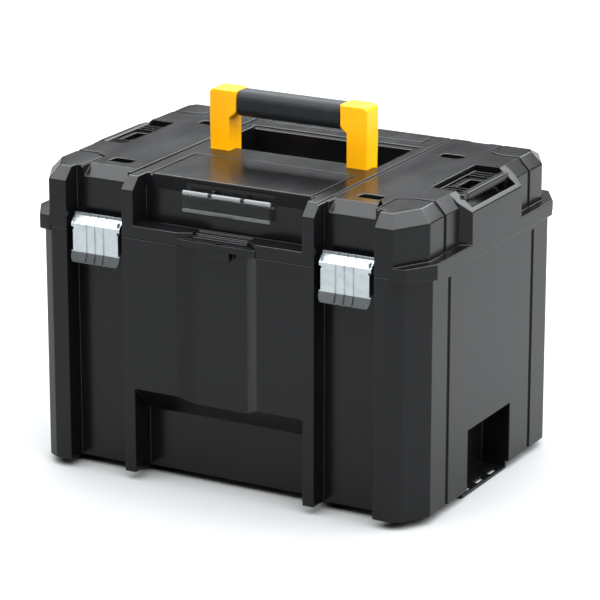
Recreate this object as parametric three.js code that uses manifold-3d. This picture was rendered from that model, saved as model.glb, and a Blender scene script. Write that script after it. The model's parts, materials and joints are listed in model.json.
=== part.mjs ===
// A deep stackable tool box with a lift-out tote tray.
// Millimetres, +Z up, the front faces -Y, and the origin lies on the ground under the centre of the box.
import * as THREE from "three";
import { mergeVertices } from "three/addons/utils/BufferGeometryUtils.js";
import Module from "manifold-3d";

const wasm = await Module();
wasm.setup();

// Driving dimensions
const WALL = 3; // moulded wall thickness
const GAP = 0.3; // clearance between separate pieces
const STAND = 8.5; // height of the feet under the base
const SEAM = STAND + 241.5; // underside of the lid's rim
const TOP = STAND + 301; // upper face of the lid
const FRONT = 160; // front face of the centre and corner columns, as a distance from the middle
const SIDE = 215; // side face of the tub
const LID_SIDE = 209.5; // side face of the lid's corner blocks
const RIM_SIDE = 220; // side face of the lid's rim

const BAY = { inner: 106.2, outer: 169.6, plane: 139.5, rear: 154 }; // recesses for the latches and the hinges
const CHANNEL = { half: 44, floorHalf: 30, depth: 7.2 }; // shallow channel down the middle of the front
const BEVEL = { inset: 11.4, drop: 12.3, rearInset: 31 }; // slope round the lid's upper edge
const MIDDLE = { half: 55, flare: 62, sill: STAND + 284 }; // middle stretch of the lid's sides, round the clip
const RECESS = { half: 93, plane: 134.5, sill: STAND + 254 }; // recess for the label window
const FOOT_RECESS = { half: 93.7, plane: 132, low: STAND + 61, high: STAND + 88 }; // hand recess low on the front
const WELL = { half: 92.5, front: -3, rear: 77, floor: STAND + 273 }; // well that the handle folds into
const POCKET = { inner: 185, half: 47, top: STAND + 62, outer: 211 }; // side pockets for the clips of a box below
const GROOVE = { from: 89.8, to: 94.8, depth: 2.2 }; // upright grooves on the sides

const FOOT = { x: 138, rows: [-105, 66], half: 11 }; // feet, and the sockets on top that they fit into
const SOCKET = { half: 12, length: 6.8, depth: 6.5, blunt: 2.5 };

const HANDLE = { half: 88.3, leg: 22.3, front: -21, depth: 25, top: STAND + 362.5, grip: 58.4 };
const HANDLE_PIVOT = { y: HANDLE.front + HANDLE.depth / 2, z: STAND + 288, pin: 3 };
const LATCH = { x: 137.9, half: 27.7, waist: 25.9, y: -148.5, z: STAND + 249.2, pin: 1.6, face: -157.5, sheet: 1.4 };
const HINGE = { y: 161.5, z: SEAM, barrel: 4.5, pin: 2 };
const CLIP = { x: 203.7, z: STAND + 293.3, half: 40, pin: 1.5, rod: 47.6, hook: 28.5 };
const CLIP_RECESS = { inner: 172.3, outer: 215.5, half: 48, floor: STAND + 280.5 }; // the space a clip lies in
const LABEL = { half: 48, y: -139.8, z: STAND + 289.2, drop: 19, bar: 1.9, neck: 1.1, rear: -132.2 };
const TRAY = { half: 196, flange: 208, front: -122, rear: 126, top: STAND + 208, depth: 62, wall: 2.4 };
const LEDGE = { inner: 200, low: TRAY.top - 12, high: TRAY.top - 3 - GAP }; // rests that carry the tray's flange

// Materials
const plastic = (color, roughness) => new THREE.MeshStandardMaterial({ color, roughness, metalness: 0 });
const metal = (color, roughness) => new THREE.MeshStandardMaterial({ color, roughness, metalness: 1 });
const blackPlastic = plastic(0x2b2c2e, 0.55);
const yellowPlastic = plastic(0xf7b100, 0.4);
const softGrip = plastic(0x26282c, 0.5);
const greyPlastic = plastic(0x3a3c3f, 0.6);
const zincSteel = metal(0xc3cacd, 0.32);
const pinSteel = metal(0x9a9c9e, 0.35);
const clearPlastic = new THREE.MeshStandardMaterial({
  color: 0x6d7072, roughness: 0.15, metalness: 0, transparent: true, opacity: 0.4,
});

// Geometry to solid and back
function solid(geometry) {
  const plain = geometry.clone();
  plain.deleteAttribute("normal");
  plain.deleteAttribute("uv");
  const merged = mergeVertices(plain, 1e-4);
  return new wasm.Manifold(
    new wasm.Mesh({
      numProp: 3,
      vertProperties: merged.attributes.position.array,
      triVerts: new Uint32Array(merged.index.array),
    }),
  );
}

function geometryOf(shape) {
  const { vertProperties, triVerts } = shape.getMesh();
  const geometry = new THREE.BufferGeometry();
  geometry.setAttribute("position", new THREE.BufferAttribute(vertProperties, 3));
  geometry.setIndex(new THREE.BufferAttribute(triVerts, 1));
  const faceted = geometry.toNonIndexed();
  faceted.computeVertexNormals();
  return faceted;
}

const union = (...shapes) => shapes.flat().reduce((sum, shape) => sum.add(shape));
const cut = (shape, ...tools) => tools.flat().reduce((rest, tool) => rest.subtract(tool), shape);

// Primitives, each placed in the box's own frame
function block(x, y, z) {
  const geometry = new THREE.BoxGeometry(Math.abs(x[1] - x[0]), Math.abs(y[1] - y[0]), Math.abs(z[1] - z[0]));
  return solid(geometry.translate((x[0] + x[1]) / 2, (y[0] + y[1]) / 2, (z[0] + z[1]) / 2));
}

function extruded(points, length) {
  const outline = new THREE.Shape(points.map(([a, b]) => new THREE.Vector2(a, b)));
  return new THREE.ExtrudeGeometry(outline, { depth: length, bevelEnabled: false });
}

// An outline in (x, y), drawn up between two heights
function upright(points, low, high) {
  return solid(extruded(points, high - low).translate(0, 0, low));
}

// An outline in (y, z), drawn along X
function alongX(points, from, to) {
  const turn = new THREE.Matrix4().set(0, 0, 1, Math.min(from, to), 1, 0, 0, 0, 0, 1, 0, 0, 0, 0, 0, 1);
  return solid(extruded(points, Math.abs(to - from)).applyMatrix4(turn));
}

// An outline in (x, z), drawn along Y
function alongY(points, from, to) {
  const turn = new THREE.Matrix4().set(1, 0, 0, 0, 0, 0, -1, Math.max(from, to), 0, 1, 0, 0, 0, 0, 0, 1);
  return solid(extruded(points, Math.abs(to - from)).applyMatrix4(turn));
}

function rodX(radius, y, z, from, to, sides = 24) {
  const rod = new THREE.CylinderGeometry(radius, radius, Math.abs(to - from), sides);
  return solid(rod.rotateZ(Math.PI / 2).translate((from + to) / 2, y, z));
}

function rodY(radius, x, z, from, to, sides = 20) {
  const rod = new THREE.CylinderGeometry(radius, radius, to - from, sides);
  return solid(rod.translate(x, (from + to) / 2, z));
}

function rodZ(radius, x, y, from, to, sides = 24) {
  const rod = new THREE.CylinderGeometry(radius, radius, to - from, sides);
  return solid(rod.rotateX(Math.PI / 2).translate(x, y, (from + to) / 2));
}

// Both sides of the box: calls the maker with -1 and with +1
const bothSides = (make) => [-1, 1].map(make);

// A block whose x range is given on the right-hand side and is mirrored for the left
const sideBlock = (side, x, y, z) => block([side * x[0], side * x[1]], y, z);

// Plan outlines: one corner's points from the front to the side, repeated in the four quarters
function fourCorners(corner) {
  const back = [...corner].reverse();
  return [
    ...corner.map(([x, y]) => [x, -y]),
    ...back.map(([x, y]) => [x, y]),
    ...corner.map(([x, y]) => [-x, y]),
    ...back.map(([x, y]) => [-x, -y]),
  ];
}

// Moves every edge of a convex outline inwards by a distance
function inset(points, distance) {
  const edges = points.map(([x, y], i) => {
    const [x2, y2] = points[(i + 1) % points.length];
    const length = Math.hypot(x2 - x, y2 - y);
    const normal = [(y2 - y) / length, (x - x2) / length];
    return { normal, reach: normal[0] * x + normal[1] * y - distance };
  });
  return edges.map((edge, i) => {
    const last = edges[(i + edges.length - 1) % edges.length];
    const [a, b] = last.normal;
    const [c, d] = edge.normal;
    const area = a * d - b * c;
    return [(last.reach * d - b * edge.reach) / area, (a * edge.reach - last.reach * c) / area];
  });
}

const TUB_PLAN = fourCorners([[187, FRONT], [198, 154], [SIDE, 127.5]]);
const LID_PLAN = fourCorners([[189, FRONT], [LID_SIDE, 123.4]]);
const RIM_PLAN = fourCorners([[191, FRONT], [201.5, 158.5], [RIM_SIDE, 128]]);
const MIDDLE_PLAN = fourCorners([[LID_SIDE - 1, MIDDLE.flare], [RIM_SIDE, MIDDLE.half]]);

// A cutter above a sloping plane that faces a plan direction: it passes through two (distance, height) points
function slopeCutter(direction, [nearReach, nearHeight], [farReach, farHeight], half = 300) {
  const run = farReach - nearReach;
  const rise = farHeight - nearHeight;
  const low = [nearReach - 2 * run, nearHeight - 2 * rise];
  const high = [farReach + 2 * run, farHeight + 2 * rise];
  const shape = extruded([low, high, [low[0] + 80, high[1]]], 2 * half);
  const turn = new THREE.Matrix4().set(1, 0, 0, 0, 0, 0, -1, half, 0, 1, 0, 0, 0, 0, 0, 1);
  return solid(shape.applyMatrix4(turn).rotateZ(direction));
}

// The slopes round the lid's upper edge, moved inwards by the wall thickness for the inside
function lidSlopes(wall) {
  const ease = wall * 0.41;
  const corner = Math.atan2(-(LID_SIDE - 189), FRONT - 123.4);
  const cornerReach = 189 * Math.cos(corner) - FRONT * Math.sin(corner);
  const slope = (direction, reach, run = BEVEL.inset) =>
    slopeCutter(direction, [reach - wall, TOP - BEVEL.drop - ease], [reach - run - ease, TOP - wall]);
  return [
    slope(-Math.PI / 2, FRONT),
    slope(Math.PI / 2, FRONT, BEVEL.rearInset),
    ...[0, Math.PI].map((direction) => slope(direction, LID_SIDE)),
    ...[corner, -corner, Math.PI - corner, Math.PI + corner].map((direction) => slope(direction, cornerReach)),
  ];
}

// Recesses either side of the centre column, for latches at the front and hinges at the rear
function bays(low, high, wall) {
  return bothSides((side) => [
    sideBlock(side, [BAY.inner - wall, BAY.outer + wall], [-200, -BAY.plane + wall], [low, high]),
    sideBlock(side, [BAY.inner - wall, BAY.outer + wall], [BAY.rear - wall, 200], [low, high]),
  ]).flat();
}

// The shallow channel down the middle of the front
function channel(low, high, wall) {
  const floor = -FRONT + CHANNEL.depth + wall;
  const { half, floorHalf } = CHANNEL;
  return upright(
    [
      [-half - wall, -FRONT - 1], [-half - wall * 0.6, -FRONT + wall], [-floorHalf - wall * 0.4, floor],
      [floorHalf + wall * 0.4, floor], [half + wall * 0.6, -FRONT + wall], [half + wall, -FRONT - 1],
    ],
    low,
    high,
  );
}

// A narrow cutter along a plan polyline, with mitred corners
function grooveAlong(points, width, low, high) {
  const normals = points.slice(1).map(([x2, y2], i) => {
    const [x1, y1] = points[i];
    const length = Math.hypot(x2 - x1, y2 - y1);
    return [(y1 - y2) / length, (x2 - x1) / length];
  });
  const edge = (distance) => points.map(([x, y], i) => {
    const [a, b] = normals[Math.max(i - 1, 0)];
    const [c, d] = normals[Math.min(i, normals.length - 1)];
    const mitre = distance / (1 + a * c + b * d);
    return [x + (a + c) * mitre, y + (b + d) * mitre];
  });
  return upright([...edge(width / 2), ...edge(-width / 2).reverse()], low, high);
}

// Tub

// The tub's form: the outer faces at wall 0, the inner faces at the wall thickness
function tubForm(wall) {
  const top = SEAM - GAP + wall;
  const { half, plane, low, high } = FOOT_RECESS;
  const handRecess = alongX(
    [[-FRONT - 40, -1], [-plane + wall, -1], [-plane + wall, low + wall], [-FRONT, high + wall], [-FRONT - 40, high + 60]],
    -half - wall,
    half + wall,
  );
  const pockets = bothSides((side) => sideBlock(
    side,
    [POCKET.inner - wall, SIDE + 20],
    [-POCKET.half - wall, POCKET.half + wall],
    [-20, POCKET.top + wall],
  ));
  return cut(
    upright(inset(TUB_PLAN, wall), STAND + wall, top),
    bays(-1, top + 1, wall),
    channel(high - 20, top + 1, wall),
    handRecess,
    pockets,
  );
}

// The floor and walls of a side pocket, which hang down to the ground, with two slots for a clip's hooks
function pocketCup(side) {
  const { inner, half, outer } = POCKET;
  const cup = sideBlock(side, [inner - WALL, outer], [-half - WALL, half + WALL], [0, STAND + WALL]);
  const slots = [-CLIP.hook, 0, CLIP.hook].map(
    (y) => sideBlock(side, [202.5, 207.3], [y - 8.5, y + 8.5], [-1, WALL + 1]),
  );
  const hollow = sideBlock(side, [inner, outer + 20], [-half, half], [WALL, POCKET.top]);
  return cut(cup, slots, hollow);
}

function tubGrooves() {
  const { from, to, depth } = GROOVE;
  return bothSides((side) => [-1, 1].map((end) => {
    const y = [end * from, end * to];
    return sideBlock(side, [SIDE - depth, SIDE + 10], y, [-1, SEAM - 12]);
  })).flat();
}

// Ears for a hinge pin: blocks from the wall out to the pin's line, with a round end
function knuckle(from, to, low, high, arm) {
  return union(
    block([from, to], [BAY.rear - 1, HINGE.y], [low, high]),
    rodX(HINGE.barrel, HINGE.y, HINGE.z, from, to),
    block([from, to], [HINGE.y - arm, HINGE.y], [low, high]),
  );
}

const hingeBore = (side) => rodX(HINGE.pin + 0.1, HINGE.y, HINGE.z, side * 110, side * 166);

function tub() {
  const feet = bothSides((side) => FOOT.rows.map(
    (y) => sideBlock(side, [FOOT.x - FOOT.half, FOOT.x + FOOT.half], [y - 6, y + 6], [0, STAND + 1]),
  )).flat();
  const ledges = bothSides((side) => sideBlock(side, [LEDGE.inner, SIDE - 1], [-100, 104], [LEDGE.low, LEDGE.high]));
  const knuckles = bothSides((side) => [[112, 124], [152, 164]].map(
    ([from, to]) => knuckle(side * from, side * to, HINGE.z - 8, HINGE.z - 2, 4),
  )).flat();
  const padlockTab = block([-14, 14], [-FRONT - 0.5, -FRONT + CHANNEL.depth + 1], [SEAM - 8.5, SEAM - GAP]);
  const shell = cut(tubForm(0), tubForm(WALL));
  return cut(
    union(shell, feet, ledges, knuckles, padlockTab, bothSides(pocketCup)),
    tubGrooves(),
    bothSides(hingeBore),
    padlockHole(),
  );
}

const padlockHole = () => rodZ(3.2, 0, -FRONT + 3.4, SEAM - 30, SEAM + 30, 20);

// Lid

// The lid's form: the outer faces at wall 0, the inner faces at the wall thickness
function lidForm(wall) {
  const low = SEAM - wall;
  const upper = cut(upright(inset(LID_PLAN, wall), low, TOP - wall), lidSlopes(wall));
  const middle = alongY(
    [
      [-RIM_SIDE + wall, low], [RIM_SIDE - wall, low], [RIM_SIDE - wall, MIDDLE.sill - wall * 0.41],
      [198 - wall * 0.41, TOP - wall], [-198 + wall * 0.41, TOP - wall],
      [-RIM_SIDE + wall, MIDDLE.sill - wall * 0.41],
    ],
    -MIDDLE.flare,
    MIDDLE.flare,
  ).intersect(upright(inset(MIDDLE_PLAN, wall), low, TOP));
  const rim = upright(inset(RIM_PLAN, wall), low, STAND + 252 - wall);
  return cut(
    union(upper, middle, rim),
    bays(low - 1, TOP + 1, wall),
    bothSides((side) => bayHead(side, wall)),
    block([-RECESS.half - wall, RECESS.half + wall], [-200, -RECESS.plane + wall], [RECESS.sill - wall, TOP + 5]),
    recessHead(wall),
    block([-LABEL.half - 1.5 - wall, LABEL.half + 1.5 + wall], [-200, LABEL.rear + wall], [TOP - 17 - wall, TOP + 5]),
    channel(low - 1, RECESS.sill, wall),
    padlockSteps(wall),
    handleWell(wall),
    stackingSockets(wall),
    bothSides((side) => clipRecess(side, wall)),
  );
}

// The slope at the head of a latch bay
function bayHead(side, wall) {
  const ease = wall * 0.41;
  return alongX(
    [
      [-200, TOP - 11 - ease], [-BAY.plane + wall, TOP - 11 - ease], [-126 + ease, TOP - wall],
      [-126 + ease, TOP + 20], [-200, TOP + 20],
    ],
    side * (BAY.inner + 5 - wall),
    side * (BAY.outer - 9 + wall),
  );
}

// The slope at the head of the label recess
function recessHead(wall) {
  const ease = wall * 0.41;
  return alongX(
    [
      [-200, TOP - 13 - ease], [-RECESS.plane + wall, TOP - 13 - ease], [-131 + ease, TOP - wall],
      [-131 + ease, TOP + 20], [-200, TOP + 20],
    ],
    -RECESS.half - wall,
    RECESS.half + wall,
  );
}

// The well that the folded handle lies in, with a pocket at the foot of each leg
function handleWell(wall) {
  const { half, front, rear, floor } = WELL;
  const pockets = bothSides((side) => sideBlock(
    side,
    [HANDLE.half - HANDLE.leg - 0.8 - wall, HANDLE.half + 0.8 + wall],
    [HANDLE.front - 0.8 - wall, 0],
    [floor - wall, TOP + 5],
  ));
  const sillSlope = alongX(
    [[front - 6 + wall, TOP - wall], [front + wall, TOP - 6 - wall], [front + 20, TOP - 6 - wall],
      [front + 20, TOP + 6], [front - 6 + wall, TOP + 6]].map(([y, z]) => [y - 2 * wall, z]),
    -half,
    half,
  );
  const well = block([-half - wall, half + wall], [front - wall, rear + wall], [floor - wall, TOP + 5]);
  const step = block([-half - 2.5 - wall, half + 2.5 + wall], [rear, rear + 4.5 + wall], [TOP - 2.6 - wall, TOP + 5]);
  return union(well, pockets, step, wall ? [] : sillSlope);
}

// The recess in the middle of each side that the stacking clip lies in
function clipRecess(side, wall) {
  const { inner, outer, half, floor } = CLIP_RECESS;
  return sideBlock(side, [inner - wall, outer + wall], [-half - wall, half + wall], [floor - wall, TOP + 5]);
}

// The rim's lower lip, which overlaps the tub at the sides and the front corners
function rimLip() {
  return cut(
    upright(RIM_PLAN, STAND + 236.5, SEAM + 1),
    upright(inset(TUB_PLAN, -0.4), STAND + 230, SEAM + 5),
    block([-188.2, 188.2], [-200, 200], [STAND + 230, SEAM + 5]),
    block([-300, 300], [127, 200], [STAND + 230, SEAM + 5]),
  );
}

// The ledge across the channel that a padlock goes through
function padlockLedge() {
  return block([-CHANNEL.half + 1, CHANNEL.half - 1], [-FRONT - 0.8, -FRONT + CHANNEL.depth + 1], [SEAM, SEAM + 6.5]);
}

// The steps that rise from the ledge to the sill of the label recess
function padlockSteps(wall) {
  const rise = 2.2;
  const run = 6.5;
  const steps = [1, 2].flatMap((count) => [
    [-FRONT + count * run + wall, SEAM + 6.5 + count * rise - wall],
    [-FRONT + (count + 1) * run + wall, SEAM + 6.5 + count * rise - wall],
  ]);
  const rear = -FRONT + 3 * run + wall;
  return alongX(
    [[-200, SEAM + 6.5 + rise - wall], ...steps, [rear, SEAM + 30], [-200, SEAM + 30]],
    -CHANNEL.floorHalf - wall,
    CHANNEL.floorHalf + wall,
  );
}

// Hooks that hold the label window's bar
function labelHooks() {
  const { y, z, neck } = LABEL;
  return [-18, 18].map((x) => cut(
    block([x - 1.4, x + 1.4], [y - neck - 1.1, LABEL.rear + 1], [z - neck - 0.9, z + neck + 0.9]),
    rodX(neck + 0.3, y, z, x - 5, x + 5, 16),
  ));
}

// Ears on the lid that hold a latch's pin
function latchEars(side) {
  const radius = 2.9;
  return [-19, -11, 11, 19].map((offset) => {
    const from = side * (LATCH.x + offset - 2);
    const to = side * (LATCH.x + offset + 2);
    return union(
      rodX(radius, LATCH.y, LATCH.z, from, to, 16),
      block([from, to], [LATCH.y, -BAY.plane + 1], [LATCH.z - radius, LATCH.z - 0.2]),
    );
  });
}

function lidGrooves() {
  const deep = TOP - 1.8;
  const above = TOP + 5;
  const panel = [[-88.5, -136], [-88.5, -46.5], [88.5, -46.5], [88.5, -136]];
  const rearPanel = [[-87.5, 140], [-87.5, 98.5], [87.5, 98.5], [87.5, 140]];
  const cornerLine = [[163, 140], [162, 101], [176, 92.3]];
  const everyCorner = [[1, 1], [-1, 1], [1, -1], [-1, -1]];
  const corners = everyCorner.map(([sx, sy]) =>
    grooveAlong(cornerLine.map(([x, y]) => [sx * x, sy * y]), 2.4, deep, above));
  const runs = bothSides((side) => sideBlock(side, [104.2, 107.4], [-200, 200], [TOP - 2, above]));
  const sides = bothSides((side) => [-1, 1].map((end) => alongY(
    [
      [173.6, deep], [197, deep], [LID_SIDE - GROOVE.depth, TOP - BEVEL.drop - 1.4],
      [LID_SIDE - GROOVE.depth, STAND + 252], [230, STAND + 252], [230, above], [173.6, above],
    ].map(([x, z]) => [side * x, z]),
    end * GROOVE.from,
    end * GROOVE.to,
  ))).flat();
  const sillGroove = block([-RECESS.half, RECESS.half], [-137.6, -RECESS.plane], [RECESS.sill - 1.6, RECESS.sill + 2]);
  return [
    grooveAlong(panel, 2, deep, above), grooveAlong(rearPanel, 2.2, deep, above), ...corners, ...runs, ...sides,
    sillGroove,
  ];
}

// Blind sockets on top for the feet of a box above
function stackingSockets(wall) {
  const { half, length, depth, blunt } = SOCKET;
  const outline = [
    [-half, -length + blunt], [-half + blunt, -length], [half - blunt, -length], [half, -length + blunt],
    [half, length - blunt], [half - blunt, length], [-half + blunt, length], [-half, length - blunt],
  ];
  return bothSides((side) => FOOT.rows.map((y) => upright(
    inset(outline, -wall).map(([a, b]) => [side * FOOT.x + a, y + b]),
    TOP - depth - wall,
    TOP + 5,
  ))).flat();
}

// A shallow notch behind each pair of sockets, at the rear edge
function rearNotches() {
  return bothSides((side) => sideBlock(side, [FOOT.x - 11, FOOT.x + 11], [126, 136], [TOP - 2.4, TOP + 5]));
}

// Lugs at the ends of a clip, which hold its rod
function clipLugs(side) {
  const { half, floor } = CLIP_RECESS;
  return [-1, 1].map((end) => sideBlock(
    side, [CLIP.x - 4, CLIP.x + 3.8], [end * (CLIP.half + GAP), end * (half + 1)], [floor - 1, CLIP.z + 4.2],
  ));
}

function lid() {
  const shell = cut(lidForm(0), lidForm(WALL));
  const knuckles = bothSides((side) => knuckle(side * 124.4, side * 151.6, HINGE.z + 1.5, HINGE.z + 9, 3));
  const clipPins = bothSides((side) => rodY(CLIP.pin + 0.1, side * CLIP.x, CLIP.z, -CLIP.rod - GAP, CLIP.rod + GAP));
  return cut(
    union(
      shell, rimLip(), padlockLedge(), labelHooks(), knuckles, bothSides(latchEars).flat(), bothSides(clipLugs).flat(),
    ),
    lidGrooves(),
    rearNotches(),
    bothSides(hingeBore),
    padlockHole(),
    bothSides((side) => rodX(LATCH.pin + 0.1, LATCH.y, LATCH.z, side * (LATCH.x - 26), side * (LATCH.x + 26))),
    bothSides((side) => rodX(HANDLE_PIVOT.pin + 0.1, HANDLE_PIVOT.y, HANDLE_PIVOT.z, side * 58, side * 98)),
    clipPins,
  );
}

// Handle

// The moulded frame: two legs with round feet, shoulders, and a core bar inside the grip
function handleFrame() {
  const { half, leg, grip, front, depth, top } = HANDLE;
  const { y, z, pin } = HANDLE_PIVOT;
  const radius = depth / 2;
  const face = alongY(
    [
      [-half + 1.3, z - radius], [half - 1.3, z - radius], [half, top - 30], [half, top - 3], [half - 3, top],
      [-half + 3, top], [-half, top - 3], [-half, top - 30],
    ],
    front,
    front + depth,
  );
  const profile = union(
    rodX(radius, y, z, -half - 5, half + 5, 36),
    block([-half - 5, half + 5], [front, front + depth], [z, top + 5]),
  );
  const inner = half - leg;
  const opening = alongY(
    [
      [-inner, z - 20], [inner, z - 20], [inner, top - 29], [grip + 2.5, top - 25.5], [grip, top - 22],
      [grip, top - 18], [-grip, top - 18], [-grip, top - 22], [-grip - 2.5, top - 25.5], [-inner, top - 29],
    ],
    front - 5,
    front + depth + 5,
  );
  const overCore = block([-grip, grip], [front - 5, front + depth + 5], [top - 5, top + 5]);
  const besideCore = [[front - 5, y - 7], [y + 7, front + depth + 5]].map(
    (range) => block([-grip, grip], range, [top - 19, top]),
  );
  const bores = bothSides((side) => rodX(pin + 0.1, y, z, side * 60, side * 95));
  return cut(face.intersect(profile), opening, overCore, besideCore, bores);
}

// The soft sleeve round the core bar
function handleGrip() {
  const { grip, front, depth, top } = HANDLE;
  const { y } = HANDLE_PIVOT;
  const back = front + depth;
  const low = top - 26.5;
  const sleeve = alongX(
    [
      [front + 5, low], [back - 5, low], [back - 0.6, low + 6], [back - 0.6, top - 7], [back - 5, top - 0.3],
      [front + 5, top - 0.3], [front + 0.6, top - 7], [front + 0.6, low + 6],
    ],
    -grip + GAP,
    grip - GAP,
  );
  const bore = block([-grip, grip], [y - 7 - GAP, y + 7 + GAP], [top - 18 - GAP, top - 5 + GAP]);
  return cut(sleeve, bore);
}

// Latches

// The folded sheet of a latch: head, face, flared finger lip, two side flanges and three pressed grooves
function latchPlate(side) {
  const { x, half, waist, face, sheet, y, z, pin } = LATCH;
  const outer = [[y - 1.8, z + 7.2], [y - 2.1, z + 4.4], [face, z - 2.6], [face, z - 31], [face - 3.4, z - 41]];
  const lean = [0, -0.41, -0.41, 0.1, 0.1];
  const sunk = (depth) => outer.map(([a, b], i) => [a + depth, b + lean[i] * depth]);
  const sheetShape = alongX([...outer, ...sunk(sheet).reverse()], side * (x - half), side * (x + half));
  const flanges = [-1, 1].map((hand) => sideBlock(
    side, [x + hand * (waist - sheet), x + hand * waist], [face + 0.5, y + 5], [z - 29, z + 2.8],
  ));
  const waists = [-1, 1].map((hand) => sideBlock(
    side, [x + hand * waist, x + hand * (half + 1)], [face - 1, face + 4], [z - 30, z - 6],
  ));
  const notches = [-1, 1].map((hand) => sideBlock(
    side, [x + hand * (waist - 1), x + hand * (half + 1)], [face - 1, face + 4], [z - 8.6, z - 6.4],
  ));
  const corners = [-1, 1].map((hand) => alongY(
    [[half - 4.5, z - 42], [half + 3, z - 42], [half + 3, z - 35], [half - 0.3, z - 36], [half - 1.6, z - 39.6]]
      .map(([a, b]) => [side * (x + hand * a), b]),
    face - 10,
    face + 2,
  ));
  const grooves = [[-9.6, 0.7], [0, 0.7], [9.6, 0.7]].map(([offset, depth]) => alongX(
    [...sunk(-1), ...sunk(depth).reverse()],
    side * (x + offset - 0.8),
    side * (x + offset + 0.8),
  ));
  return cut(
    cut(sheetShape, waists).add(union(flanges)),
    corners,
    grooves,
    notches,
    rodX(pin + 0.1, y, z, side * (x - half - 2), side * (x + half + 2)),
  );
}

// The stiff hook plate behind a latch's face
function latchHook(side) {
  const { x, z, face, sheet } = LATCH;
  const back = face + sheet + GAP;
  return alongX(
    [[back, z - 28], [-FRONT + 10.6, z - 28], [-FRONT + 10.6, z - 24], [back + 2, z - 22], [back + 2, z - 12],
      [back, z - 12]],
    side * (x - 15),
    side * (x + 15),
  );
}

// The striker that a latch presses on, below the seam
function striker(side) {
  const { x, z } = LATCH;
  return alongX(
    [[-BAY.plane - GAP, z - 33], [-BAY.plane - 6, z - 33], [-BAY.plane - 9.4, z - 30], [-BAY.plane - 9.4, z - 26],
      [-BAY.plane - GAP, z - 20]],
    side * (x - 18),
    side * (x + 18),
  );
}

// Stacking clips

// A clip lies in its recess and flips up round the rod in its outer bar
function clip(side) {
  const { x, z, half, pin } = CLIP;
  const inner = 174.5;
  const bar = alongY(
    [
      [x - 4, z - 3], [x - 3, z - 3.8], [x + 3, z - 3.8], [x + 4.2, z - 2.6], [x + 4.2, z + 3.6], [x + 3, z + 4.8],
      [x - 2.8, z + 4.8], [x - 4, z + 3.6],
    ].map(([a, b]) => [side * a, b]),
    -half,
    half,
  );
  const plate = sideBlock(side, [inner, x - 3.5], [-half, half], [z - 1.2, z + 1.2]);
  const edge = sideBlock(side, [inner, inner + 2.6], [-half, half], [z - 1.2, z + 4.2]);
  const ribs = [-38.2, -30.8, -23.4, 23.4, 30.8, 38.2].map(
    (y) => sideBlock(side, [inner + 1, x - 3], [y - 1, y + 1], [z - 1.2, z + 3.8]),
  );
  const hooks = [-CLIP.hook, CLIP.hook].map(
    (y) => sideBlock(side, [inner, inner + 2.4], [y - 7, y + 7], [z - 4, z]),
  );
  const window = sideBlock(side, [inner + 8, x - 7], [-17, 17], [z - 10, z + 10]);
  const bore = rodY(pin + 0.1, side * x, z, -half - 2, half + 2);
  return cut(union(bar, plate, edge, ribs, hooks), window, bore);
}

// Label window

// A clear flap on a bar that turns in two hooks, with a finger notch in its lower edge
function labelWindow() {
  const { half, y, z, drop, bar, neck } = LABEL;
  const pane = block([-half, half], [y - 1.2, y + 0.1], [z - drop, z]);
  const hem = block([-half, half], [y - 2.2, y + 0.1], [z - drop, z - drop + 3]);
  const sides = [-half, half - 1.2].map((x) => block([x, x + 1.2], [y - 1.9, y + 0.1], [z - drop, z]));
  const plate = union(pane, hem, sides);
  const gaps = [-18, 18].map((x) => block([x - 2.4, x + 2.4], [y - 5, y + 5], [z - 3.3, z + 5]));
  const bars = [[-half, -20.4], [-15.6, 15.6], [20.4, half]].map(([from, to]) => rodX(bar, y, z, from, to, 16));
  const necks = rodX(neck, y, z, -22, 22, 12);
  const notch = block([-9, 9], [y - 4, y - 0.9], [z - drop - 1, z - drop + 1.8]);
  return cut(union(cut(plate, gaps), bars, necks), notch);
}

// Tote tray

function trayShell() {
  const { half, flange, front, rear, top, depth, wall } = TRAY;
  const low = top - depth;
  const outer = union(
    block([-half, half], [front, rear], [low, top]),
    block([-flange, flange], [front + 20, rear - 20], [top - 3, top]),
  );
  const middle = (front + rear) / 2;
  const bins = [[front + wall, middle - 8.6], [middle + 8.6, rear - wall]].map(
    (range) => block([-half + wall, half - wall], range, [low + wall, top + 5]),
  );
  const slot = block([-71.5, 71.5], [middle - 6.3, middle + 6.3], [low + wall, top + 5]);
  const spine = [-1, 1].map((side) => sideBlock(
    side, [71.5 + wall, half - wall], [middle - 8.6 + wall, middle + 8.6 - wall], [low - 5, top - wall],
  ));
  const guides = bothSides((side) => [front + wall, middle + 8.6].map((y) => [-2, 2].map((step) => sideBlock(
    side, [98 + step * 1.1 - 0.9, 98 + step * 1.1 + 0.9], [y - 1, y + 4], [low + 1, top - 12],
  )))).flat(2);
  return union(cut(outer, bins, slot, spine), guides);
}

// The tray's upright carrying handle, which stands in the slot along its middle
function trayHandle() {
  const { front, rear, top, depth, wall } = TRAY;
  const middle = (front + rear) / 2;
  const low = top - depth + wall + GAP;
  const high = top + 28;
  const plate = alongY(
    [[-71, low], [71, low], [71, top + 4], [60, high], [-60, high], [-71, top + 4]],
    middle - 6,
    middle + 6,
  );
  const hand = alongY(
    [[-50, top + 2], [50, top + 2], [54, top + 8], [48, high - 9], [-48, high - 9], [-54, top + 8]],
    middle - 10,
    middle + 10,
  );
  return cut(plate, hand);
}

// A loose divider that stands between two guides in one of the tray's bins
function trayDivider(side) {
  const { front, rear, top, depth, wall } = TRAY;
  const middle = (front + rear) / 2;
  return sideBlock(
    side,
    [97.1, 98.9],
    [front + wall + GAP, middle - 8.6 - GAP],
    [top - depth + wall + GAP, top - 8],
  );
}

// Assembly

function mesh(name, shape, material) {
  const made = new THREE.Mesh(geometryOf(shape), material);
  made.name = name;
  return made;
}

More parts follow.
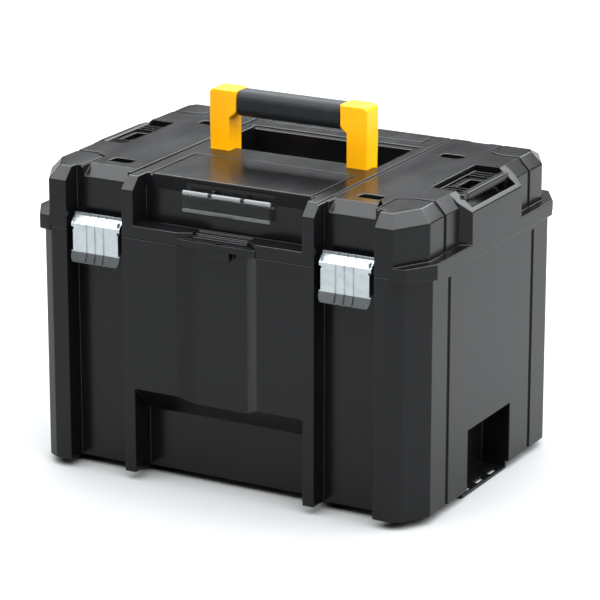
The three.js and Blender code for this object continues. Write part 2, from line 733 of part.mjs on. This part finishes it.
const root = new THREE.Group();
root.add(
  mesh("body_shell", tub(), blackPlastic),
  mesh("lid_shell", lid(), blackPlastic),
  mesh("handle_frame", handleFrame(), yellowPlastic),
  mesh("handle_grip", handleGrip(), softGrip),
  mesh("label_window", labelWindow(), clearPlastic),
  mesh("tray_shell", trayShell(), greyPlastic),
  mesh("tray_handle", trayHandle(), yellowPlastic),
);
for (const [hand, side] of [["left", -1], ["right", 1]]) {
  const pinX = (reach, from, to, at) => rodX(reach, at.y, at.z, side * from, side * to);
  root.add(
    mesh(`hinge_pin_${hand}`, pinX(HINGE.pin, 111, 165, HINGE), pinSteel),
    mesh(`handle_pin_${hand}`, pinX(HANDLE_PIVOT.pin, 60.5, 95.2, HANDLE_PIVOT), pinSteel),
    mesh(`latch_pin_${hand}`, pinX(LATCH.pin, LATCH.x - LATCH.half, LATCH.x + LATCH.half, LATCH), pinSteel),
    mesh(`latch_plate_${hand}`, latchPlate(side), zincSteel),
    mesh(`latch_hook_${hand}`, latchHook(side), zincSteel),
    mesh(`latch_striker_${hand}`, striker(side), zincSteel),
    mesh(`clip_${hand}`, clip(side), blackPlastic),
    mesh(`clip_rod_${hand}`, rodY(CLIP.pin, side * CLIP.x, CLIP.z, -CLIP.rod, CLIP.rod), pinSteel),
    mesh(`tray_divider_${hand}`, trayDivider(side), greyPlastic),
  );
}
export default root;
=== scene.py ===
"""A deep stackable tool box with a lift-out tote tray: pieces, finishes, light and camera."""
import json
import logging
import math
from dataclasses import dataclass
from enum import Enum
from typing import Union

import bmesh
import bpy
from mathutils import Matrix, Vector, geometry

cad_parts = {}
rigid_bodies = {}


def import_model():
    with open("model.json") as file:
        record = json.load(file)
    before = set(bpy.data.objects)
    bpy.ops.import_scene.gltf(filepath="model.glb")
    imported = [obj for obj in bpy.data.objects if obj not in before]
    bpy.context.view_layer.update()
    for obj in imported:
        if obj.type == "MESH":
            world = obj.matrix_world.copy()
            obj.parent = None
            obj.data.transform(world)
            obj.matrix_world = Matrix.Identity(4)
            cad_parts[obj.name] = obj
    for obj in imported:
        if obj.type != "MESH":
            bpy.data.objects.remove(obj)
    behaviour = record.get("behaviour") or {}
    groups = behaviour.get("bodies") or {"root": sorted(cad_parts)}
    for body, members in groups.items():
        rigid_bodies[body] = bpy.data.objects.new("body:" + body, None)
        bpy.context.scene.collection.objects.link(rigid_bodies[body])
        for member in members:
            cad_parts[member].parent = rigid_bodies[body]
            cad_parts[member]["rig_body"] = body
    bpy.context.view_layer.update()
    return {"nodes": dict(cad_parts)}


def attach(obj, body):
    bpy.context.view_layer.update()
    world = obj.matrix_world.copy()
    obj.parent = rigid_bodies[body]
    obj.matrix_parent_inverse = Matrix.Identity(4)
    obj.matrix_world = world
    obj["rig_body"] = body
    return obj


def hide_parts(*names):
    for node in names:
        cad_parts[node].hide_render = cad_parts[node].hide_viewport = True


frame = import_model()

log = logging.getLogger("toolbox")
MM = 0.001
BROAD_FACE = 150 * MM * MM  # a face this large is never shaded together with its neighbour
SLIGHT_ANGLE = math.radians(5.0)  # the least angle that counts as an edge beside a broad face
WELD = 0.002 * MM  # corners closer than this are one corner
COPLANAR = math.radians(0.6)  # faces flatter to each other than this are one face
LEAST_ROUNDING = 0.04 * MM  # edges with less room than this stay sharp
ROOM_SHARE = 0.42  # how much of a face's width one rounding may take
PROBES = 5  # points along an edge where the room beside it is measured


# Shader graph

class Signal:
    """A shader value that adds a Math node for each sum it takes part in."""

    def __init__(self, graph: "Graph", socket: bpy.types.NodeSocket) -> None:
        """Keeps the socket and the graph it belongs to."""
        self.graph = graph
        self.socket = socket

    def _math(self, operation: str, first: "Feed", second: "Feed" = 0.0) -> "Signal":
        """Adds one Math node.

        Args:
            operation: The Math node's operation.
            first: What enters the first socket.
            second: What enters the second socket.

        Returns:
            The node's value.
        """
        node = self.graph.node("ShaderNodeMath", {"operation": operation}, {0: first, 1: second})
        return Signal(self.graph, node.outputs[0])

    def __add__(self, other: "Feed") -> "Signal":
        """Sum."""
        return self._math("ADD", self, other)

    __radd__ = __add__

    def __sub__(self, other: "Feed") -> "Signal":
        """Difference."""
        return self._math("SUBTRACT", self, other)

    def __rsub__(self, other: "Feed") -> "Signal":
        """Difference from a number."""
        return self._math("SUBTRACT", other, self)

    def __mul__(self, other: "Feed") -> "Signal":
        """Product."""
        return self._math("MULTIPLY", self, other)

    __rmul__ = __mul__

    def over(self, low: float, high: float) -> "Signal":
        """Rises smoothly from 0 at one level to 1 at another.

        Args:
            low: The level that gives 0.
            high: The level that gives 1.

        Returns:
            The value between 0 and 1.
        """
        inputs = {"Value": self, "From Min": low, "From Max": high}
        node = self.graph.node("ShaderNodeMapRange", {"interpolation_type": "SMOOTHSTEP"}, inputs)
        return Signal(self.graph, node.outputs[0])


Feed = Union[Signal, bpy.types.NodeSocket, float, tuple]
Colour = tuple[float, float, float]


class Graph:
    """The node tree of one material."""

    def __init__(self, name: str) -> None:
        """Makes an empty material with its surface shader and object coordinates."""
        self.material = bpy.data.materials.new(f"{name} finish")
        self.material.use_nodes = True
        self.tree = self.material.node_tree
        self.tree.nodes.clear()
        self.coordinates = self.node("ShaderNodeTexCoord").outputs["Object"]

    def node(self, kind: str, settings: dict | None = None, inputs: dict | None = None) -> bpy.types.Node:
        """Adds a node.

        Args:
            kind: The node's type.
            settings: Attributes, set before the sockets are.
            inputs: What each socket is given, by name or number.

        Returns:
            The new node.
        """
        made = self.tree.nodes.new(kind)
        for name, value in (settings or {}).items():
            setattr(made, name, value)
        for key, value in (inputs or {}).items():
            socket = made.inputs[key]
            source = value.socket if isinstance(value, Signal) else value
            if isinstance(source, bpy.types.NodeSocket):
                self.tree.links.new(source, socket)
            else:
                socket.default_value = source
        return made

    def stretched(self, scale: Colour) -> bpy.types.NodeSocket:
        """Object coordinates, scaled per axis.

        Args:
            scale: The factor along each axis.

        Returns:
            The scaled coordinates.
        """
        inputs = {0: self.coordinates, 1: scale}
        return self.node("ShaderNodeVectorMath", {"operation": "MULTIPLY"}, inputs).outputs[0]

    def noise(self, scale: float, detail: float = 3.0, where: bpy.types.NodeSocket | None = None) -> Signal:
        """Soft noise between 0 and 1.

        Args:
            scale: Waves per metre.
            detail: How many finer layers it has.
            where: Coordinates, or the object's own if left out.

        Returns:
            The noise.
        """
        inputs = {"Vector": where or self.coordinates, "Scale": scale, "Detail": detail}
        return Signal(self, self.node("ShaderNodeTexNoise", None, inputs).outputs["Fac"])

    def height(self) -> Signal:
        """How high each point lies on the closed, standing box."""
        return Signal(self, self.node("ShaderNodeSeparateXYZ", None, {0: self.coordinates}).outputs["Z"])

    def edges(self, reach: float) -> Signal:
        """Where the surface turns over an edge.

        Args:
            reach: How far from the edge it is felt, in metres.

        Returns:
            0 on flat faces, towards 1 on edges.
        """
        soft = self.node("ShaderNodeBevel", {"samples": 4}, {"Radius": reach}).outputs[0]
        plain = self.node("ShaderNodeNewGeometry").outputs["True Normal"]
        dot = self.node("ShaderNodeVectorMath", {"operation": "DOT_PRODUCT"}, {0: soft, 1: plain})
        return (1.0 - Signal(self, dot.outputs["Value"])).over(0.01, 0.22)

    def mix(self, factor: Feed, first: Feed, second: Feed) -> bpy.types.NodeSocket:
        """Blends two colours.

        Args:
            factor: How much of the second.
            first: The colour at 0.
            second: The colour at 1.

        Returns:
            The blended colour.
        """
        inputs = {0: factor, 6: self.opaque(first), 7: self.opaque(second)}
        return self.node("ShaderNodeMix", {"data_type": "RGBA"}, inputs).outputs[2]

    @staticmethod
    def opaque(colour: Feed) -> Feed:
        """Adds the fourth number to a plain colour."""
        return (*colour, 1.0) if isinstance(colour, tuple) else colour

    def bump(self, height: Signal, strength: float, distance: float,
             under: bpy.types.NodeSocket | None = None) -> bpy.types.NodeSocket:
        """Turns a height into a normal.

        Args:
            height: The height signal.
            strength: How much of it shows.
            distance: Its full height, in metres.
            under: A normal that this one is laid over.

        Returns:
            The normal.
        """
        inputs = {"Strength": strength, "Distance": distance, "Height": height}
        if under is not None:
            inputs["Normal"] = under
        return self.node("ShaderNodeBump", None, inputs).outputs[0]

    def surface(self, inputs: dict) -> bpy.types.Material:
        """Adds the surface shader and the output.

        Args:
            inputs: The shader's sockets by name.

        Returns:
            The finished material.
        """
        shader = self.node("ShaderNodeBsdfPrincipled", None, inputs)
        self.node("ShaderNodeOutputMaterial", None, {"Surface": shader.outputs[0]})
        return self.material


# Finishes

@dataclass(frozen=True)
class MouldedPlastic:
    """Injection-moulded plastic with a fine spark-eroded grain and rubbed edges."""

    name: str
    colour: Colour
    rubbed: Colour
    roughness: float = 0.24
    gloss: float = 0.22
    grain: float = 0.2
    wear: float = 0.35
    edge_reach: float = 1.3 * MM
    grain_height: float = 0.025 * MM
    flow_scale: float = 14.0
    smear_scale: float = 60.0
    smear_run: Colour = (1.0, 0.22, 0.22)
    patch_scale: float = 210.0
    spark_scale: float = 620.0
    fine_scale: float = 1900.0
    fine_share: float = 0.3
    flow_tint: float = 1.3

    def build(self) -> bpy.types.Material:
        """Makes the material.

        Returns:
            The material.
        """
        graph = Graph(self.name)
        flow = graph.noise(self.flow_scale, 4.0)
        smear = graph.noise(self.smear_scale, 5.0, graph.stretched(self.smear_run))
        patches = graph.noise(self.patch_scale, 2.0)
        edge = graph.edges(self.edge_reach)
        paler = tuple(channel * self.flow_tint for channel in self.colour)
        tone = graph.mix(flow.over(0.3, 0.75), self.colour, paler)
        worn = edge * patches.over(0.25, 0.7) * self.wear
        colour = graph.mix(worn, tone, self.rubbed)
        rough = self.roughness + (smear - 0.5) * 0.09 + (flow - 0.5) * 0.08 - edge * 0.06
        fine = graph.noise(self.fine_scale, 2.0)
        sparks = graph.noise(self.spark_scale, 3.0)
        relief = fine * self.fine_share + sparks * (1.0 - self.fine_share)
        normal = graph.bump(relief, self.grain, self.grain_height)
        return graph.surface({
            "Base Color": colour, "Roughness": rough, "Normal": normal, "Specular IOR Level": self.gloss,
        })


@dataclass(frozen=True)
class SoftRubber:
    """Soft overmoulded rubber with a pebbled surface and a painted sheen on its edges."""

    name: str
    colour: Colour
    painted_sheen_and_tone: Colour
    # Colour of the painted sheen on edges, also reached by tone that differs at random.
    roughness: float = 0.5
    gloss: float = 0.18
    edge_reach: float = 1.6 * MM
    pebbles: float = 620.0
    pebble_height: float = 0.06 * MM

    def build(self) -> bpy.types.Material:
        """Makes the material.

        Returns:
            The material.
        """
        graph = Graph(self.name)
        inputs = {"Vector": graph.coordinates, "Scale": self.pebbles, "Randomness": 0.7}
        voronoi = graph.node("ShaderNodeTexVoronoi", {"feature": "F1"}, inputs)
        cells = Signal(graph, voronoi.outputs["Distance"])
        cloud = graph.noise(90.0, 4.0)
        edge = graph.edges(self.edge_reach)
        # Edges are painted paler as a painted sheen; the cloud adds tone that differs at random.
        colour = graph.mix(edge * 0.4 + cloud.over(0.35, 0.8) * 0.3, self.colour, self.painted_sheen_and_tone)
        normal = graph.bump(1.0 - cells, 0.3, self.pebble_height)
        rough = self.roughness + (cloud - 0.5) * 0.2 - edge * 0.05
        return graph.surface({
            "Base Color": colour, "Roughness": rough, "Normal": normal, "Specular IOR Level": self.gloss,
        })


@dataclass(frozen=True)
class ZincSheet:
    """Zinc-plated steel sheet with faint rolling lines, with painted shade on a latch's lip and head and
    along its edges and creases.
    """

    name: str
    colour: Colour
    shade: Colour
    roughness: float = 0.3
    lines: Colour = (1.0, 1.0, 0.05)
    lip: float = 226.6 * MM
    head: float = 255.2 * MM
    blend: float = 0.4 * MM
    # Colour of the painted shade on a latch's lip and head.
    painted_shade: Colour = (0.06, 0.066, 0.066)
    # Colour of the painted shade along edges and in creases.
    painted_crease_shade: Colour = (0.1, 0.108, 0.112)
    edge_reach: float = 0.9 * MM

    def build(self) -> bpy.types.Material:
        """Makes the material.

        Returns:
            The material.
        """
        graph = Graph(self.name)
        rolled = graph.noise(900.0, 3.0, graph.stretched(self.lines))
        cloud = graph.noise(130.0, 5.0)
        edge = graph.edges(self.edge_reach)
        tone = graph.mix(cloud.over(0.35, 0.8), self.colour, self.shade)
        # Painted shade: the lip below one height and the head above another are painted darker, a painted
        # dark reflection on the lip and a dimmed highlight on the head.
        height = graph.height()
        lip = 1.0 - height.over(self.lip - self.blend, self.lip + self.blend)
        head = height.over(self.head - self.blend, self.head + self.blend)
        with_painted_shade = graph.mix(lip * 0.8 + head * 0.5, tone, self.painted_shade)
        # Edges and creases are painted darker as painted shade.
        colour = graph.mix(edge * 0.6, with_painted_shade, self.painted_crease_shade)
        rough = self.roughness + (rolled - 0.5) * 0.22 + (cloud - 0.5) * 0.16
        normal = graph.bump(rolled, 0.1, 0.05 * MM, graph.bump(cloud, 0.1, 0.2 * MM))
        return graph.surface({"Base Color": colour, "Metallic": 1.0, "Roughness": rough, "Normal": normal})


@dataclass(frozen=True)
class SmokedSheet:
    """Clear smoked plastic with a painted highlight along its top bar, its hem and its edges, and fine
    scratches.
    """

    name: str
    colour: Colour
    # Colour of the painted highlight on the top bar, the hem and the edges.
    painted_highlight: Colour
    alpha: float
    bar: float = 295.8 * MM
    hem: float = 281.7 * MM
    blend: float = 0.3 * MM
    edge_reach: float = 0.8 * MM
    roughness: float = 0.16
    gloss: float = 0.3

    def build(self) -> bpy.types.Material:
        """Makes the material.

        Returns:
            The material.
        """
        graph = Graph(self.name)
        marks = graph.noise(700.0, 4.0, graph.stretched((0.12, 1.0, 1.0)))
        cloud = graph.noise(60.0, 3.0)
        edge = graph.edges(self.edge_reach)
        height = graph.height()
        # Painted highlight: the top bar, the hem and the edges are painted paler and more opaque.
        bar = height.over(self.bar - self.blend, self.bar)
        hem = (1.0 - height.over(self.hem, self.hem + self.blend)) * 0.22
        painted_highlight_mask = bar * 0.45 + hem + edge * 0.12
        colour = graph.mix(painted_highlight_mask, self.colour, self.painted_highlight)
        rough = self.roughness + marks.over(0.55, 0.9) * 0.08 + cloud * 0.08 + bar * 0.2
        alpha = self.alpha + painted_highlight_mask * 0.5 + marks.over(0.6, 0.9) * 0.04
        return graph.surface({
            "Base Color": colour, "Roughness": rough, "Alpha": alpha,
            "Normal": graph.bump(cloud, 0.1, 0.05 * MM), "Specular IOR Level": self.gloss,
        })


@dataclass(frozen=True)
class PaleFloor:
    """A plain pale studio floor."""

    name: str = "pale_floor"
    tone: float = 0.27

    def build(self) -> bpy.types.Material:
        """Makes the material.

        Returns:
            The material.
        """
        graph = Graph(self.name)
        cloud = graph.noise(3.0, 2.0)
        light = (self.tone, self.tone, self.tone)
        colour = graph.mix(cloud, light, tuple(c * 0.985 for c in light))
        return graph.surface({"Base Color": colour, "Roughness": 0.9, "Specular IOR Level": 0.2})


class Finish(Enum):
    """The finishes of the tool box, each built once."""

    BLACK = MouldedPlastic("black_plastic", (0.0022, 0.0023, 0.0026), (0.012, 0.014, 0.017))
    YELLOW = MouldedPlastic("yellow_plastic", (0.63, 0.275, 0.0004), (0.74, 0.4, 0.008), 0.34, 0.2, 0.08, 0.5)
    GREY = MouldedPlastic("grey_plastic", (0.014, 0.015, 0.017), (0.04, 0.04, 0.045))
    RUBBER = SoftRubber("soft_grip", (0.009, 0.01, 0.011), (0.022, 0.026, 0.032))
    ZINC = ZincSheet("zinc_steel", (0.45, 0.49, 0.505), (0.39, 0.43, 0.45))
    PIN = ZincSheet("pin_steel", (0.5, 0.51, 0.52), (0.4, 0.41, 0.42), 0.3, (0.05, 1.0, 1.0))
    CLEAR = SmokedSheet("clear_plastic", (0.012, 0.013, 0.012), (0.5, 0.52, 0.53), 0.3)

    @property
    def material(self) -> bpy.types.Material:
        """The finish's material, made the first time it is asked for."""
        found = bpy.data.materials.get(f"{self.value.name} finish")
        return found or self.value.build()


# Meshes

class EdgeSoftener:
    """Rounds every edge of a sharp solid as far as the room beside it lets it."""

    def __init__(self, node: str, width: float, angle: float = 22.0) -> None:
        """Reads a CAD node's solid into clean flat faces."""
        self.width = width
        self.angle = math.radians(angle)
        self.mesh = bmesh.new()
        self.mesh.from_mesh(frame["nodes"][node].data)
        bmesh.ops.remove_doubles(self.mesh, verts=self.mesh.verts, dist=WELD)
        bmesh.ops.dissolve_limit(
            self.mesh, angle_limit=COPLANAR, use_dissolve_boundaries=False,
            verts=self.mesh.verts, edges=self.mesh.edges,
        )

    def is_sharp(self, edge: bmesh.types.BMEdge) -> bool:
        """Whether two faces meet at a clear angle; beside a broad face a slight one counts too."""
        if not edge.is_manifold:
            return False
        broad = max(face.calc_area() for face in edge.link_faces) > BROAD_FACE
        return edge.calc_face_angle(0.0) > (SLIGHT_ANGLE if broad else self.angle)

    def room(self, edge: bmesh.types.BMEdge) -> float:
        """How wide a rounding the edge has room for.

        Args:
            edge: The edge.

        Returns:
            The width, in metres.
        """
        free = self.width
        for corner in edge.verts:
            for other in corner.link_edges:
                if other is not edge and self.is_sharp(other):
                    free = min(free, ROOM_SHARE * other.calc_length())
        start, end = edge.verts[0].co, edge.verts[1].co
        probes = [start.lerp(end, step / (PROBES - 1)) for step in range(PROBES)]
        for face in edge.link_faces:
            for other in face.edges:
                if set(other.verts) & set(edge.verts):
                    continue
                a, b = other.verts[0].co, other.verts[1].co
                for probe in probes:
                    near, share = geometry.intersect_point_line(probe, a, b)
                    near = a if share < 0 else b if share > 1 else near
                    free = min(free, ROOM_SHARE * (near - probe).length)
        return free

    def finished(self, name: str, segments: int = 2) -> bpy.types.Object:
        """Makes the softened object.

        Args:
            name: The object's name.
            segments: How many steps each rounding has.

        Returns:
            The object.
        """
        weights = self.mesh.edges.layers.float.new("bevel_weight_edge")
        for edge in self.mesh.edges:
            if not self.is_sharp(edge):
                continue
            free = self.room(edge)
            if free > LEAST_ROUNDING:
                edge[weights] = free / self.width
            else:
                edge.smooth = False
        for face in self.mesh.faces:
            face.smooth = True
        data = bpy.data.meshes.new(name)
        self.mesh.to_mesh(data)
        self.mesh.free()
        made = bpy.data.objects.new(name, data)
        bpy.context.scene.collection.objects.link(made)
        bevel = made.modifiers.new("rounding", "BEVEL")
        bevel.limit_method = "WEIGHT"
        bevel.width = self.width
        bevel.segments = segments
        bevel.use_clamp_overlap = False
        bevel.miter_outer = "MITER_SHARP"
        flat = made.modifiers.new("flat_faces", "WEIGHTED_NORMAL")
        flat.mode = "FACE_AREA"
        flat.weight = 100
        flat.keep_sharp = True
        return made


def body_of(node: str) -> str:
    """The body a CAD node belongs to."""
    return frame["nodes"][node]["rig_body"]


# Sub-assemblies

class Assembly:
    """A sub-assembly whose pieces replace CAD nodes one for one."""

    def __post_init__(self) -> None:
        """Starts without pieces."""
        self.pieces: dict[str, bpy.types.Object] = {}

    def soften(self, node: str, width: float, segments: int = 2) -> None:
        """Replaces a CAD node with the same solid with rounded edges.

        Args:
            node: The CAD node.
            width: The widest rounding, in metres.
            segments: How many steps each rounding has.
        """
        made = EdgeSoftener(node, width).finished(f"{node}_piece", segments)
        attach(made, body_of(node))
        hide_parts(node)
        self.pieces[node] = made
        log.info("%s: %d faces", made.name, len(made.data.polygons))

    def coat(self, finish: Finish, *nodes: str) -> None:
        """Gives pieces one finish.

        Args:
            finish: The finish.
            nodes: The CAD nodes that the pieces stand for.
        """
        for node in nodes:
            piece = self.pieces[node]
            piece.data.materials.clear()
            piece.data.materials.append(finish.material)


@dataclass
class Tub(Assembly):
    """The deep lower box with its strikers and hinge pins."""

    rounding: float = 0.9 * MM
    striker_rounding: float = 0.4 * MM
    pin_rounding: float = 0.3 * MM

    def build(self) -> None:
        """Makes the tub's pieces."""
        self.soften("body_shell", self.rounding)
        for hand in ("left", "right"):
            self.soften(f"latch_striker_{hand}", self.striker_rounding)
            self.soften(f"hinge_pin_{hand}", self.pin_rounding)

    def dress(self) -> None:
        """Puts the finishes on."""
        self.coat(Finish.BLACK, "body_shell")
        self.coat(Finish.ZINC, "latch_striker_left", "latch_striker_right")
        self.coat(Finish.PIN, "hinge_pin_left", "hinge_pin_right")


@dataclass
class Lid(Assembly):
    """The lid."""

    rounding: float = 1.0 * MM

    def build(self) -> None:
        """Makes the lid's piece."""
        self.soften("lid_shell", self.rounding)

    def dress(self) -> None:
        """Puts the finish on."""
        self.coat(Finish.BLACK, "lid_shell")


@dataclass
class CarryHandle(Assembly):
    """The folding handle with its soft sleeve."""

    frame_rounding: float = 2.2 * MM
    grip_rounding: float = 3.0 * MM
    pin_rounding: float = 0.3 * MM
    steps: int = 4

    def build(self) -> None:
        """Makes the handle's pieces."""
        self.soften("handle_frame", self.frame_rounding, self.steps)
        self.soften("handle_grip", self.grip_rounding, self.steps)
        for hand in ("left", "right"):
            self.soften(f"handle_pin_{hand}", self.pin_rounding)

    def dress(self) -> None:
        """Puts the finishes on."""
        self.coat(Finish.YELLOW, "handle_frame")
        self.coat(Finish.RUBBER, "handle_grip")
        self.coat(Finish.PIN, "handle_pin_left", "handle_pin_right")


@dataclass
class Latch(Assembly):
    """One of the two sheet-metal latches."""

    hand: str
    sheet_rounding: float = 0.2 * MM
    hook_rounding: float = 0.4 * MM
    pin_rounding: float = 0.3 * MM
    steps: int = 3

    def build(self) -> None:
        """Makes the latch's pieces."""
        self.soften(f"latch_plate_{self.hand}", self.sheet_rounding, self.steps)
        self.soften(f"latch_hook_{self.hand}", self.hook_rounding)
        self.soften(f"latch_pin_{self.hand}", self.pin_rounding)

    def dress(self) -> None:
        """Puts the finishes on."""
        self.coat(Finish.ZINC, f"latch_plate_{self.hand}", f"latch_hook_{self.hand}")
        self.coat(Finish.PIN, f"latch_pin_{self.hand}")


@dataclass
class StackingClip(Assembly):
    """One of the two clips that hold a box stacked on top."""

    hand: str
    rounding: float = 0.5 * MM
    pin_rounding: float = 0.3 * MM

    def build(self) -> None:
        """Makes the clip's pieces."""
        self.soften(f"clip_{self.hand}", self.rounding)
        self.soften(f"clip_rod_{self.hand}", self.pin_rounding)

    def dress(self) -> None:
        """Puts the finishes on."""
        self.coat(Finish.BLACK, f"clip_{self.hand}")
        self.coat(Finish.PIN, f"clip_rod_{self.hand}")


@dataclass
class LabelWindow(Assembly):
    """The clear flap over the label recess."""

    rounding: float = 0.3 * MM

    def build(self) -> None:
        """Makes the flap."""
        self.soften("label_window", self.rounding)

    def dress(self) -> None:
        """Puts the finish on."""
        self.coat(Finish.CLEAR, "label_window")


@dataclass
class ToteTray(Assembly):
    """The lift-out tray with its handle and dividers."""

    shell_rounding: float = 0.8 * MM
    handle_rounding: float = 1.2 * MM
    divider_rounding: float = 0.5 * MM
    steps: int = 3

    def build(self) -> None:
        """Makes the tray's pieces."""
        self.soften("tray_shell", self.shell_rounding)
        self.soften("tray_handle", self.handle_rounding, self.steps)
        for hand in ("left", "right"):
            self.soften(f"tray_divider_{hand}", self.divider_rounding)

    def dress(self) -> None:
        """Puts the finishes on."""
        self.coat(Finish.GREY, "tray_shell", "tray_divider_left", "tray_divider_right")
        self.coat(Finish.YELLOW, "tray_handle")


@dataclass
class Studio:
    """Pale floor, soft light and the camera."""

    azimuth: float = 28.99
    elevation: float = 17.31
    distance: float = 3.183
    target: Colour = (0.0029, 0.0, 0.1584)
    lens: float = 190.4
    floor_reach: float = 9.0

    def build(self) -> None:
        """Makes the floor, the lights, the world and the camera."""
        self.floor()
        self.softbox("overhead", (0.8, 1.2, 3.6), (0.8, 1.2, 0.0), (11.0, 11.0), 2900.0, (0.955, 0.985, 1.0))
        self.softbox("right_panel", (3.2, 1.6, 1.1), (0.0, 0.0, 0.15), (2.0, 1.4), 40.0, (0.96, 0.98, 1.0))
        self.softbox("front_fill", (-1.4, -2.6, 1.6), (0.0, 0.0, 0.15), (1.2, 1.2), 8.0, (1.0, 1.0, 1.0))
        self.world(0.02)
        self.camera()
        bpy.context.scene.view_settings.view_transform = "Standard"

    def floor(self) -> None:
        """Lays the floor."""
        mesh = bmesh.new()
        bmesh.ops.create_circle(mesh, cap_ends=True, radius=self.floor_reach, segments=96)
        data = bpy.data.meshes.new("studio_floor")
        mesh.to_mesh(data)
        mesh.free()
        floor = bpy.data.objects.new("studio_floor", data)
        bpy.context.scene.collection.objects.link(floor)
        floor.data.materials.append(PaleFloor().build())

    def softbox(self, name: str, place: Colour, aim: Colour, size: tuple[float, float], power: float,
                colour: Colour) -> None:
        """Hangs one soft light.

        Args:
            name: The light's name.
            place: Where it hangs.
            aim: What it points at.
            size: Its width and height.
            power: Its power in watts.
            colour: Its colour.
        """
        light = bpy.data.lights.new(name, "AREA")
        light.shape = "RECTANGLE"
        light.size, light.size_y = size
        light.energy = power
        light.color = colour
        lamp = bpy.data.objects.new(name, light)
        lamp.location = place
        lamp.rotation_euler = (Vector(aim) - Vector(place)).to_track_quat("-Z", "Y").to_euler()
        bpy.context.scene.collection.objects.link(lamp)

    def world(self, level: float) -> None:
        """Gives the surroundings an even pale tone."""
        world = bpy.data.worlds.new("surroundings")
        bpy.context.scene.world = world
        world.use_nodes = True
        background = world.node_tree.nodes["Background"]
        background.inputs["Color"].default_value = (level, level * 1.01, level * 1.03, 1.0)

    def camera(self) -> None:
        """Sets up the camera."""
        across, up = math.radians(self.azimuth), math.radians(self.elevation)
        back = Vector((
            math.sin(across) * math.cos(up), -math.cos(across) * math.cos(up), math.sin(up),
        ))
        data = bpy.data.cameras.new("camera")
        data.sensor_width = 36.0
        data.lens = self.lens
        data.clip_end = 60.0
        camera = bpy.data.objects.new("camera", data)
        camera.location = Vector(self.target) + back * self.distance
        camera.rotation_euler = (-back).to_track_quat("-Z", "Y").to_euler()
        bpy.context.scene.collection.objects.link(camera)
        bpy.context.scene.camera = camera


def main() -> None:
    """Builds the tool box piece by piece, then the studio round it."""
    logging.basicConfig(level=logging.INFO, format="%(name)s: %(message)s")
    parts = [
        Tub(), Lid(), CarryHandle(), Latch("left"), Latch("right"),
        StackingClip("left"), StackingClip("right"), LabelWindow(), ToteTray(),
    ]
    for part in parts:
        part.build()
        part.dress()
        log.info("built %s", part)
    Studio().build()


if __name__ == "__main__":
    main()
